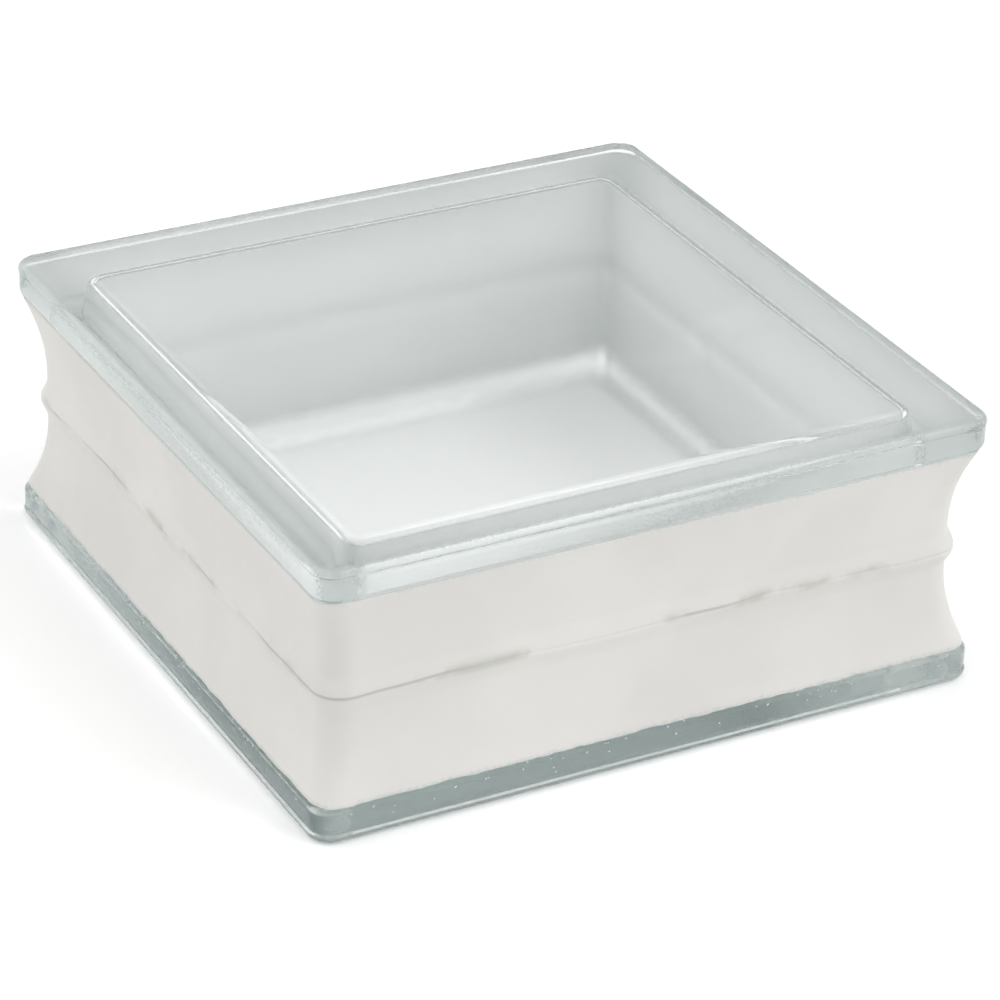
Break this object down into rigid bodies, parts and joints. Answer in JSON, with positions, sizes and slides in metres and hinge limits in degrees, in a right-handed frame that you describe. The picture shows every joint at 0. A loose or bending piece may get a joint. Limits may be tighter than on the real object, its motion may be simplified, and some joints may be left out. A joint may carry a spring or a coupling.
{
  "type": "glass block",
  "caption": "Hollow square glass block for walls and partitions, clear faces, lipped edges with a white coated mortar recess.",
  "frame": {"origin": "centre of the lower face, on the plane that the block rests on", "axes": "+Z through the thickness, from the lower face to the upper face; +X and +Y along the edges of the square"},
  "size_m": [0.1968, 0.1968, 0.0794],
  "materials": {
    "glass": "clear, fire polished, faint blue green",
    "coating": "matte white edge coating"
  },
  "bodies": {
    "root": {"upper_half": "glass", "lower_half": "glass", "edge_coating": "coating"}
  },
  "joints": []
}
